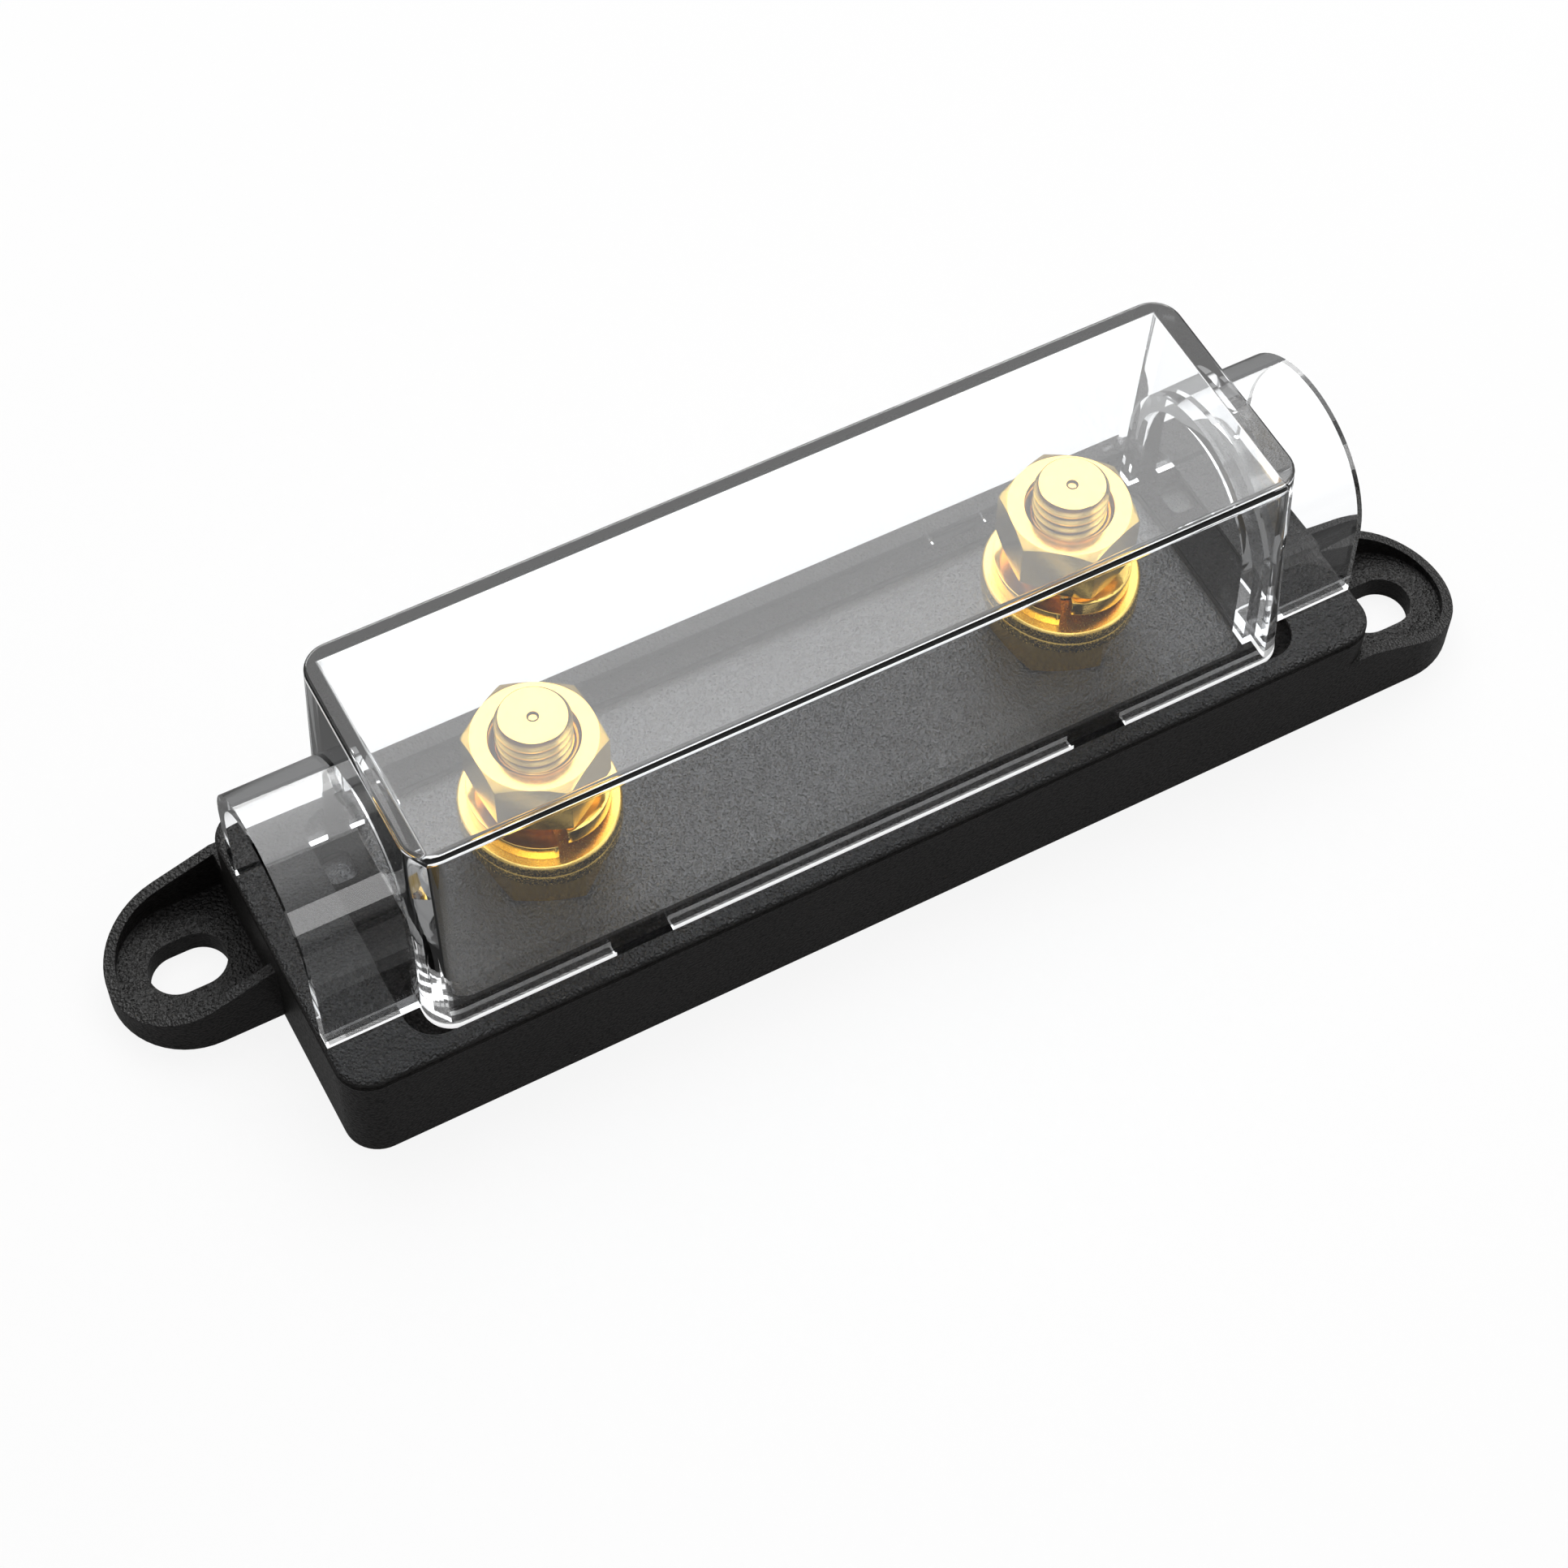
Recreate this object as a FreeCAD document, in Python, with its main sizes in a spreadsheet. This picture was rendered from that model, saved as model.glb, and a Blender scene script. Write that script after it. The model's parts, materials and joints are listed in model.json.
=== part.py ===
import FreeCAD, Part
import os
import Sketcher

# Fuse holder for bolt-down strip fuses: a black moulded base with two lugs, a clear clip-on
# cover with a cable hood at each end, and two M8 terminal studs with their nuts and washers.
# Millimetres. X runs from stud to stud, Y across, Z up. The origin is the middle of the
# underside, where the base stands on the panel.

VEC = FreeCAD.Vector
doc = FreeCAD.newDocument("fuse_holder")

# Sizes in millimetres and degrees, with what each one is on the object
SIZES = [
    # base block
    ("end_room", 30.4, "centre of a stud to the end of the base block"),
    ("body_width", 36.8, "base block, front to back"),
    ("deck_height", 13.9, "top face of the base above its underside"),
    ("body_corner", 3.8, "radius of the upright corners"),
    ("deck_edge", 0.7, "radius of the top edge"),
    ("shell_wall", 2.1, "side walls of the hollow underside"),
    ("plate_thickness", 2.0, "plastic left under the tray floor"),
    # recess that locates the cover, and the tray for the fuse inside it
    ("seat_gap_end", 2.1, "play between cover and recess at the ends"),
    ("seat_gap_side", 0.3, "play between cover and recess at front and back"),
    ("seat_depth", 0.8, "depth of the locating recess"),
    ("tray_inset_end", 3.0, "end of the fuse tray inside the cover's foot"),
    ("tray_inset_side", 3.65, "side of the fuse tray inside the cover's foot"),
    ("tray_depth", 1.2, "fuse tray below the recess"),
    ("tray_corner", 2.6, "corner radius of the tray"),
    ("pry_length", 3.2, "pry notch along the base"),
    ("pry_width", 4.0, "pry notch across the base"),
    ("pry_corner", 1.0, "corner radius of the pry notch"),
    ("pry_offset", 7.1, "pry notch behind the centre line"),
    # lugs
    ("lug_radius", 8.7, "round end of a lug"),
    ("lug_setback", 6.9, "centre of the round end beyond the block"),
    ("lug_floor", 2.9, "floor of a lug"),
    ("lug_rim", 1.25, "width of the raised rim"),
    ("lug_rise_tip", 3.6, "top of the rim at the tip"),
    ("lug_rise_root", 9.0, "top of the rim at the block"),
    ("slot_width", 6.4, "fixing slot, across"),
    ("slot_length", 8.6, "fixing slot, end to end"),
    # terminals
    ("stud_spacing", 62.0, "centre to centre of the studs"),
    ("stud_diameter", 8.0, "M8 shank"),
    ("stud_tip_chamfer", 0.8, "chamfer at the free end"),
    ("stud_tip_mark", 0.5, "centre mark in the free end, radius and depth"),
    ("stud_length", 29.2, "under the head"),
    ("stud_hole_play", 0.1, "radial play of the stud in the base"),
    ("head_flats", 13.0, "across the flats of the bolt head"),
    ("head_height", 5.3, "bolt head"),
    ("head_play", 0.15, "play between a flat and its pocket wall"),
    ("head_recess", 1.2, "bolt head above the underside"),
    ("boss_diameter", 21.0, "boss round a bolt head"),
    ("web_thickness", 2.0, "webs of the underside"),
    ("web_shift", 5.0, "outer webs beyond the stud, clear of the snap slots"),
    ("foot_gap", 0.6, "webs and bosses above the underside"),
    ("nut_flats", 13.0, "across the flats of a nut"),
    ("nut_height", 6.5, "M8 nut"),
    ("nut_play", 0.05, "radial play of a nut on its stud"),
    ("nut_chamfer", 0.7, "chamfer at the top of the nut's bore"),
    ("base_nut_turn", 39.0, "how far the lower nuts are turned, degrees"),
    ("left_nut_turn", 32.0, "how far the left top nut is turned, degrees"),
    ("right_nut_turn", 20.0, "how far the right top nut is turned, degrees"),
    ("washer_diameter", 17.0, "flat washer"),
    ("washer_bore", 8.4, "flat washer"),
    ("washer_thickness", 1.6, "flat washer"),
    ("washer_edge", 0.25, "chamfer round the top of a flat washer"),
    ("spring_diameter", 14.8, "split spring washer"),
    ("spring_bore", 8.2, "split spring washer"),
    ("spring_thickness", 2.0, "section height of the spring washer"),
    ("spring_rise", 2.1, "how far the split ends stand apart"),
    ("spring_hook", 80.0, "part of the turn over which one end rises, degrees"),
    ("spring_split", 8.0, "gap of the split, degrees"),
    ("left_split", -97.0, "where the left spring washer is split, degrees"),
    ("right_split", -119.0, "where the right spring washer is split, degrees"),
    # cover
    ("cover_inset_end", 10.7, "cover's foot inside the end of the block"),
    ("cover_inset_side", 2.45, "cover's foot inside the side of the block"),
    ("cover_lean_end", 0.7, "how far an end wall leans in at the top"),
    ("cover_lean_side", 2.15, "how far a side wall leans in at the top"),
    ("cover_headroom", 4.75, "room between the studs and the roof of the cover"),
    ("cover_wall", 1.8, "walls of the cover"),
    ("cover_corner", 3.2, "upright corners of the cover"),
    ("cover_edge", 0.5, "radius of the top edge"),
    ("hood_radius", 12.0, "outside of the cable hood"),
    ("hood_axis", 23.5, "axis of the hood above the underside"),
    ("hood_flare", 0.35, "how much a hood leg leans out at its foot"),
    ("hood_wall", 1.8, "wall of the cable hood"),
    ("hood_setback", 0.4, "end of the hood inside the end of the block"),
    ("collar_depth", 1.5, "collar of the hood inside the end wall"),
    ("tongue_width", 6.5, "snap tongue along the cover"),
    ("tongue_length", 5.0, "snap tongue below the cover's foot"),
    ("tongue_spacing", 54.3, "centre to centre of two tongues"),
    ("tongue_play", 0.2, "play of a tongue in its slot"),
]

sheet = doc.addObject("Spreadsheet::Sheet", "sizes")
for row, (alias, number, note) in enumerate(SIZES, start=1):
    sheet.set("A" + str(row), alias)
    sheet.set("B" + str(row), str(number))
    sheet.set("C" + str(row), note)
    sheet.setAlias("B" + str(row), alias)
doc.recompute()


class Size:
    """A length with its number now and the formula that keeps it tied to the sheet."""

    def __init__(self, number, formula):
        self.number = float(number)
        self.formula = formula

    def __add__(self, other):
        other = as_size(other)
        return Size(self.number + other.number, "(%s + %s)" % (self.formula, other.formula))

    def __radd__(self, other):
        return as_size(other) + self

    def __sub__(self, other):
        other = as_size(other)
        return Size(self.number - other.number, "(%s - %s)" % (self.formula, other.formula))

    def __mul__(self, other):
        other = as_size(other)
        return Size(self.number * other.number, "(%s * %s)" % (self.formula, other.formula))

    def __rmul__(self, other):
        return as_size(other) * self

    def __truediv__(self, other):
        other = as_size(other)
        return Size(self.number / other.number, "(%s / %s)" % (self.formula, other.formula))

    def __neg__(self):
        return Size(-self.number, "(0 - %s)" % self.formula)


def as_size(value):
    if isinstance(value, Size):
        return value
    return Size(value, repr(float(value)))


def size(alias):
    return Size(sheet.get(alias), "sizes." + alias)


S = {alias: size(alias) for alias, number, note in SIZES}
ZERO = as_size(0)
TAN_30 = 0.5773502691896258    # slope of the chamfer on a hexagon's corners
CORNER_PER_FLAT = 1.1547005383792515    # across the corners of a hexagon for its flats
MARGIN = as_size(1.0)    # how far a cut reaches past the face that it goes through

# Levels and places that follow from the sizes
seat_z = S["deck_height"] - S["seat_depth"]
tray_z = seat_z - S["tray_depth"]
ceiling_z = tray_z - S["plate_thickness"]
web_foot_z = S["foot_gap"]
head_top_z = S["head_recess"] + S["head_height"]
base_nut_top_z = tray_z + S["nut_height"]
upper_washer_z = base_nut_top_z + S["washer_thickness"]
spring_z = upper_washer_z + S["washer_thickness"]
top_nut_z = spring_z + S["spring_thickness"] + S["spring_rise"]
stud_x = S["stud_spacing"] / 2
half_length = stud_x + S["end_room"]
half_width = S["body_width"] / 2
cover_x = half_length - S["cover_inset_end"]
cover_y = half_width - S["cover_inset_side"]
cover_top_x = cover_x - S["cover_lean_end"]
cover_top_y = cover_y - S["cover_lean_side"]
stud_top_z = head_top_z + S["stud_length"]
roof_z = stud_top_z + S["cover_headroom"] + S["cover_wall"]
tray_x = cover_x - S["tray_inset_end"]
tray_y = cover_y - S["tray_inset_side"]
lug_x = half_length + S["lug_setback"]
lug_y = S["lug_radius"] - half_width
hood_end = half_length - S["hood_setback"]


def new_body(label):
    body = doc.addObject("PartDesign::Body", label)
    body.Label = label
    return body


def tie(thing, path, value):
    """Set a property from a size and keep it tied to the sheet."""
    thing.setExpression(path, value.formula)


def sketch_on(body, role, name, offset=None):
    plane = [item for item in body.Origin.OriginFeatures if item.Role == role][0]
    sketch = body.newObject("Sketcher::SketchObject", name)
    sketch.AttachmentSupport = [(plane, "")]
    sketch.MapMode = "FlatFace"
    if offset is not None:
        sketch.AttachmentOffset = FreeCAD.Placement(VEC(0, 0, offset.number), FreeCAD.Rotation())
        tie(sketch, "AttachmentOffset.Base.z", offset)
    return sketch


def dimension(sketch, kind, value, *places):
    """Add a dimension to a sketch and tie it to the sheet."""
    number = sketch.addConstraint(Sketcher.Constraint(kind, *places, value.number))
    sketch.renameConstraint(number, "size_%d" % number)
    tie(sketch, "Constraints.size_%d" % number, value)


def pin_point(sketch, shape, end, x_value, y_value):
    """Hold one end of a line or arc at a place measured from the sketch's origin."""
    if x_value is not None:
        dimension(sketch, "DistanceX", as_size(x_value), -1, 1, shape, end)
    if y_value is not None:
        dimension(sketch, "DistanceY", as_size(y_value), -1, 1, shape, end)


def point(x_value, y_value):
    return VEC(as_size(x_value).number, as_size(y_value).number, 0)


def outline(sketch, corners):
    """Closed outline of straight lines through corners that the sizes place."""
    count = len(corners)
    first = None
    for index, corner in enumerate(corners):
        following = corners[(index + 1) % count]
        line = sketch.addGeometry(Part.LineSegment(point(*corner), point(*following)))
        first = line if first is None else first
    for index, corner in enumerate(corners):
        line = first + index
        following = first + (index + 1) % count
        sketch.addConstraint(Sketcher.Constraint("Coincident", line, 2, following, 1))
        pin_point(sketch, line, 1, *corner)


def circle(sketch, x_value, y_value, radius):
    ring = sketch.addGeometry(
        Part.Circle(point(x_value, y_value), VEC(0, 0, 1), as_size(radius).number))
    pin_point(sketch, ring, 3, x_value, y_value)
    dimension(sketch, "Radius", as_size(radius), ring)


def arc(sketch, x_value, y_value, radius, start, end):
    """Arc drawn from one angle to another, in degrees, anticlockwise."""
    turn = 0.017453292519943295
    ring = Part.Circle(point(x_value, y_value), VEC(0, 0, 1), as_size(radius).number)
    return sketch.addGeometry(Part.ArcOfCircle(ring, start * turn, end * turn))


def rounded_rectangle(sketch, x_low, x_high, y_low, y_high, radius):
    x_low, x_high, y_low, y_high = [as_size(item) for item in (x_low, x_high, y_low, y_high)]
    left, right = x_low + radius, x_high - radius
    low, high = y_low + radius, y_high - radius
    bottom = sketch.addGeometry(Part.LineSegment(point(left, y_low), point(right, y_low)))
    arc(sketch, right, low, radius, -90, 0)
    sketch.addGeometry(Part.LineSegment(point(x_high, low), point(x_high, high)))
    arc(sketch, right, high, radius, 0, 90)
    sketch.addGeometry(Part.LineSegment(point(right, y_high), point(left, y_high)))
    arc(sketch, left, high, radius, 90, 180)
    sketch.addGeometry(Part.LineSegment(point(x_low, high), point(x_low, low)))
    arc(sketch, left, low, radius, 180, 270)
    for index in range(8):
        sketch.addConstraint(Sketcher.Constraint(
            "Tangent", bottom + index, 2, bottom + (index + 1) % 8, 1))
    for index in (0, 4):
        sketch.addConstraint(Sketcher.Constraint("Horizontal", bottom + index))
    for index in (2, 6):
        sketch.addConstraint(Sketcher.Constraint("Vertical", bottom + index))
    for index in (3, 5, 7):
        sketch.addConstraint(Sketcher.Constraint("Equal", bottom + 1, bottom + index))
    dimension(sketch, "Radius", radius, bottom + 1)
    pin_point(sketch, bottom, 1, None, y_low)
    pin_point(sketch, bottom + 2, 1, x_high, None)
    pin_point(sketch, bottom + 4, 1, None, y_high)
    pin_point(sketch, bottom + 6, 1, x_low, None)


def slot(sketch, x_value, y_value, length, width):
    """Slot with round ends that runs along X."""
    radius = width / 2
    reach = (length - width) / 2
    right, left = x_value + reach, x_value - reach
    low, high = y_value - radius, y_value + radius
    bottom = sketch.addGeometry(Part.LineSegment(point(left, low), point(right, low)))
    arc(sketch, right, y_value, radius, -90, 90)
    sketch.addGeometry(Part.LineSegment(point(right, high), point(left, high)))
    arc(sketch, left, y_value, radius, 90, 270)
    for index in range(4):
        sketch.addConstraint(Sketcher.Constraint(
            "Tangent", bottom + index, 2, bottom + (index + 1) % 4, 1))
    sketch.addConstraint(Sketcher.Constraint("Horizontal", bottom))
    dimension(sketch, "Radius", radius, bottom + 1)
    pin_point(sketch, bottom + 1, 3, right, y_value)
    pin_point(sketch, bottom + 3, 3, left, None)


def tongue_outline(sketch, root, centre_x, centre_y, radius):
    """Lug outline: straight sides from the block, round outer end."""
    low, high = centre_y - radius, centre_y + radius
    side = sketch.addGeometry(Part.LineSegment(point(root, low), point(centre_x, low)))
    arc(sketch, centre_x, centre_y, radius, -90, 90)
    sketch.addGeometry(Part.LineSegment(point(centre_x, high), point(root, high)))
    sketch.addGeometry(Part.LineSegment(point(root, high), point(root, low)))
    sketch.addConstraint(Sketcher.Constraint("Tangent", side, 2, side + 1, 1))
    sketch.addConstraint(Sketcher.Constraint("Tangent", side + 1, 2, side + 2, 1))
    sketch.addConstraint(Sketcher.Constraint("Coincident", side + 2, 2, side + 3, 1))
    sketch.addConstraint(Sketcher.Constraint("Coincident", side + 3, 2, side, 1))
    sketch.addConstraint(Sketcher.Constraint("Horizontal", side))
    sketch.addConstraint(Sketcher.Constraint("Vertical", side + 3))
    pin_point(sketch, side + 1, 3, centre_x, centre_y)
    dimension(sketch, "Radius", radius, side + 1)
    pin_point(sketch, side, 1, root, None)


def arch(sketch, foot_z, axis_z, radius, flare):
    """Open arch: two legs that lean out by the flare at their feet, and a half circle."""
    foot = radius + flare
    left = sketch.addGeometry(
        Part.LineSegment(point(-radius, axis_z), point(-foot, foot_z)))
    right = sketch.addGeometry(Part.LineSegment(point(foot, foot_z), point(radius, axis_z)))
    crown = arc(sketch, 0, axis_z, radius, 0, 180)
    sketch.addConstraint(Sketcher.Constraint("Coincident", right, 2, crown, 1))
    sketch.addConstraint(Sketcher.Constraint("Coincident", crown, 2, left, 1))
    pin_point(sketch, left, 2, -foot, foot_z)
    pin_point(sketch, right, 1, foot, foot_z)
    pin_point(sketch, crown, 1, radius, axis_z)
    pin_point(sketch, crown, 2, -radius, axis_z)
    pin_point(sketch, crown, 3, None, axis_z)
    return left, right


def arch_section(sketch, foot_z, axis_z, radius, flare):
    """Arch closed across its feet."""
    left, right = arch(sketch, foot_z, axis_z, radius, flare)
    foot = radius + flare
    floor = sketch.addGeometry(Part.LineSegment(point(-foot, foot_z), point(foot, foot_z)))
    sketch.addConstraint(Sketcher.Constraint("Coincident", left, 2, floor, 1))
    sketch.addConstraint(Sketcher.Constraint("Coincident", floor, 2, right, 1))


def arch_wall(sketch, foot_z, axis_z, radius, wall, flare):
    """Section of an arched wall: an outer and an inner arch joined at their feet."""
    outer_left, outer_right = arch(sketch, foot_z, axis_z, radius, flare)
    inner_left, inner_right = arch(sketch, foot_z, axis_z, radius - wall, flare)
    outer, inner = radius + flare, radius - wall + flare
    near = sketch.addGeometry(Part.LineSegment(point(-outer, foot_z), point(-inner, foot_z)))
    far = sketch.addGeometry(Part.LineSegment(point(inner, foot_z), point(outer, foot_z)))
    sketch.addConstraint(Sketcher.Constraint("Coincident", outer_left, 2, near, 1))
    sketch.addConstraint(Sketcher.Constraint("Coincident", near, 2, inner_left, 2))
    sketch.addConstraint(Sketcher.Constraint("Coincident", inner_right, 1, far, 1))
    sketch.addConstraint(Sketcher.Constraint("Coincident", far, 2, outer_right, 1))


def pad(body, sketch, length, down=False):
    """Add material on the sketch's outer side, or on its back side."""
    feature = body.newObject("PartDesign::Pad", "Pad")
    feature.Profile = sketch
    feature.Length = length.number
    tie(feature, "Length", length)
    feature.Reversed = down
    sketch.Visibility = False
    body.Tip = feature
    doc.recompute()
    return feature


def pocket(body, sketch, depth, forward=False):
    """Cut on the sketch's back side, or forward on its outer side."""
    before = body.Shape.Volume
    feature = body.newObject("PartDesign::Pocket", "Pocket")
    feature.Profile = sketch
    feature.Length = depth.number
    tie(feature, "Length", depth)
    feature.Reversed = forward
    sketch.Visibility = False
    body.Tip = feature
    doc.recompute()
    if not body.Shape.Volume < before - 0.001:
        raise RuntimeError("a pocket of %s cuts nothing" % body.Label)
    return feature


def turn(body, sketch, angle=as_size(360)):
    """Turn a section about the sketch's upright axis."""
    feature = body.newObject("PartDesign::Revolution", "Revolution")
    feature.Profile = sketch
    feature.ReferenceAxis = (sketch, ["V_Axis"])
    feature.Angle = angle.number
    tie(feature, "Angle", angle)
    sketch.Visibility = False
    body.Tip = feature
    doc.recompute()
    return feature


def mirror(body, role, features):
    plane = [item for item in body.Origin.OriginFeatures if item.Role == role][0]
    feature = body.newObject("PartDesign::Mirrored", "Mirrored")
    feature.Originals = features
    feature.MirrorPlane = (plane, [""])
    body.Tip = feature
    doc.recompute()
    return feature


def half_turn(body, features):
    """Repeat features on the other side of the upright axis."""
    axis = [item for item in body.Origin.OriginFeatures if item.Role == "Z_Axis"][0]
    feature = body.newObject("PartDesign::PolarPattern", "HalfTurn")
    feature.Originals = features
    feature.Axis = (axis, [""])
    feature.Angle = 360
    feature.Occurrences = 2
    body.Tip = feature
    doc.recompute()
    return feature


def round_edges(body, radius, wanted):
    """Round the edges of the body so far that a test picks out."""
    base = body.Tip
    names = []
    for number, edge in enumerate(base.Shape.Edges, start=1):
        if wanted([vertex.Z for vertex in edge.Vertexes]):
            names.append("Edge%d" % number)
    feature = body.newObject("PartDesign::Fillet", "Fillet")
    feature.Base = (base, names)
    feature.Radius = radius.number
    tie(feature, "Radius", radius)
    body.Tip = feature
    doc.recompute()
    return feature


def stand(body, x_value, z_value, angle=None):
    """Place a body on a stud's axis at its level."""
    tie(body, "Placement.Base.x", as_size(x_value))
    tie(body, "Placement.Base.z", as_size(z_value))
    if angle is not None:
        body.Placement = FreeCAD.Placement(VEC(0, 0, 0), FreeCAD.Rotation(VEC(0, 0, 1), 1))
        tie(body, "Placement.Rotation.Angle", angle)


def round_top(body, radius, level):
    """Round every edge that lies at one level."""
    round_edges(body, radius, lambda ends: all(abs(z - level.number) < 0.0001 for z in ends))


def round_uprights(body, radius):
    """Round every edge that runs up the body."""
    round_edges(body, radius, lambda ends: max(ends) - min(ends) > 1)


def make_base():
    """Hollow moulded block with the cover's recess, the fuse tray, bosses and two lugs."""
    body = new_body("base")
    block = sketch_on(body, "XY_Plane", "block")
    rounded_rectangle(block, -half_length, half_length, -half_width, half_width,
                      S["body_corner"])
    pad(body, block, S["deck_height"])
    round_top(body, S["deck_edge"], S["deck_height"])

    # lug: a round-ended tongue flush with the side of the block, dished to a floor
    root = half_length - S["body_corner"]
    lug = sketch_on(body, "XY_Plane", "lug")
    tongue_outline(lug, root, lug_x, lug_y, S["lug_radius"])
    lug_pad = pad(body, lug, S["lug_rise_root"])
    tip = lug_x + S["lug_radius"]
    slope = sketch_on(body, "XZ_Plane", "lug_slope")
    outline(slope, [
        (half_length, S["lug_rise_root"]),
        (tip, S["lug_rise_tip"]),
        (tip + MARGIN, S["lug_rise_tip"]),
        (tip + MARGIN, S["lug_rise_root"] + MARGIN),
        (half_length, S["lug_rise_root"] + MARGIN),
    ])
    slope_cut = pocket(body, slope, S["body_width"], forward=True)
    dish = sketch_on(body, "XY_Plane", "lug_dish", S["lug_floor"])
    tongue_outline(dish, half_length, lug_x, lug_y, S["lug_radius"] - S["lug_rim"])
    dish_cut = pocket(body, dish, S["lug_rise_root"], forward=True)
    fixing = sketch_on(body, "XY_Plane", "fixing_slot")
    slot(fixing, lug_x, lug_y, S["slot_length"], S["slot_width"])
    fixing_cut = pocket(body, fixing, S["lug_rise_root"], forward=True)
    half_turn(body, [lug_pad, slope_cut, dish_cut, fixing_cut])

    # recess for the foot of the cover, then the tray
    seat_x = cover_x + S["seat_gap_end"]
    seat_y = cover_y + S["seat_gap_side"]
    seat = sketch_on(body, "XY_Plane", "cover_seat", S["deck_height"])
    rounded_rectangle(seat, -seat_x, seat_x, -seat_y, seat_y,
                      S["cover_corner"] + S["seat_gap_side"])
    pocket(body, seat, S["seat_depth"])
    tray = sketch_on(body, "XY_Plane", "tray", seat_z)
    rounded_rectangle(tray, -tray_x, tray_x, -tray_y, tray_y, S["tray_corner"])
    pocket(body, tray, S["tray_depth"])
    pry = sketch_on(body, "XY_Plane", "pry_notch", seat_z)
    rounded_rectangle(pry, seat_x - S["pry_length"], seat_x,
                      S["pry_offset"] - S["pry_width"] / 2,
                      S["pry_offset"] + S["pry_width"] / 2, S["pry_corner"])
    pry_cut = pocket(body, pry, S["tray_depth"])
    mirror(body, "YZ_Plane", [pry_cut])

    # hollow underside, with a boss round each bolt head and webs that stiffen the plate
    cavity_x = half_length - S["shell_wall"]
    cavity_y = half_width - S["shell_wall"]
    cavity = sketch_on(body, "XY_Plane", "cavity")
    rounded_rectangle(cavity, -cavity_x, cavity_x, -cavity_y, cavity_y,
                      S["body_corner"] - S["shell_wall"])
    pocket(body, cavity, ceiling_z, forward=True)
    half_web = S["web_thickness"] / 2
    web_height = ceiling_z - web_foot_z
    webs = sketch_on(body, "XY_Plane", "cross_webs", web_foot_z)
    web_x = stud_x + S["web_shift"]
    for place in (-web_x, ZERO, web_x):
        outline(webs, [
            (place - half_web, -cavity_y),
            (place + half_web, -cavity_y),
            (place + half_web, cavity_y),
            (place - half_web, cavity_y),
        ])
    pad(body, webs, web_height)
    bosses = sketch_on(body, "XY_Plane", "bosses", web_foot_z)
    for place in (-stud_x, stud_x):
        circle(bosses, place, 0, S["boss_diameter"] / 2)
    pad(body, bosses, web_height)
    for side in (-1, 1):
        heads = sketch_on(body, "XY_Plane", "head_pocket")
        flat = S["head_flats"] / 2 + S["head_play"]
        corner = flat * CORNER_PER_FLAT
        place = stud_x * side
        outline(heads, [
            (place + corner, ZERO),
            (place + corner / 2, flat),
            (place - corner / 2, flat),
            (place - corner, ZERO),
            (place - corner / 2, -flat),
            (place + corner / 2, -flat),
        ])
        pocket(body, heads, head_top_z, forward=True)
    holes = sketch_on(body, "XY_Plane", "stud_holes")
    for place in (-stud_x, stud_x):
        circle(holes, place, 0, S["stud_diameter"] / 2 + S["stud_hole_play"])
    pocket(body, holes, S["deck_height"], forward=True)

    # slots for the four snap tongues
    play = S["tongue_play"]
    outer = cover_y + play
    inner = cover_y - S["cover_wall"] - play
    half = S["tongue_width"] / 2 + play
    place = S["tongue_spacing"] / 2
    snaps = sketch_on(body, "XY_Plane", "snap_slot", S["deck_height"])
    outline(snaps, [
        (place - half, inner),
        (place + half, inner),
        (place + half, outer),
        (place - half, outer),
    ])
    snap_depth = S["seat_depth"] + S["tongue_length"] + MARGIN
    snap_cut = pocket(body, snaps, snap_depth)
    mirror(body, "YZ_Plane", [snap_cut])
    snaps_front = sketch_on(body, "XY_Plane", "snap_slot_front", S["deck_height"])
    outline(snaps_front, [
        (place - half, -outer),
        (place + half, -outer),
        (place + half, -inner),
        (place - half, -inner),
    ])
    front_cut = pocket(body, snaps_front, snap_depth)
    mirror(body, "YZ_Plane", [front_cut])
    return body


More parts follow.
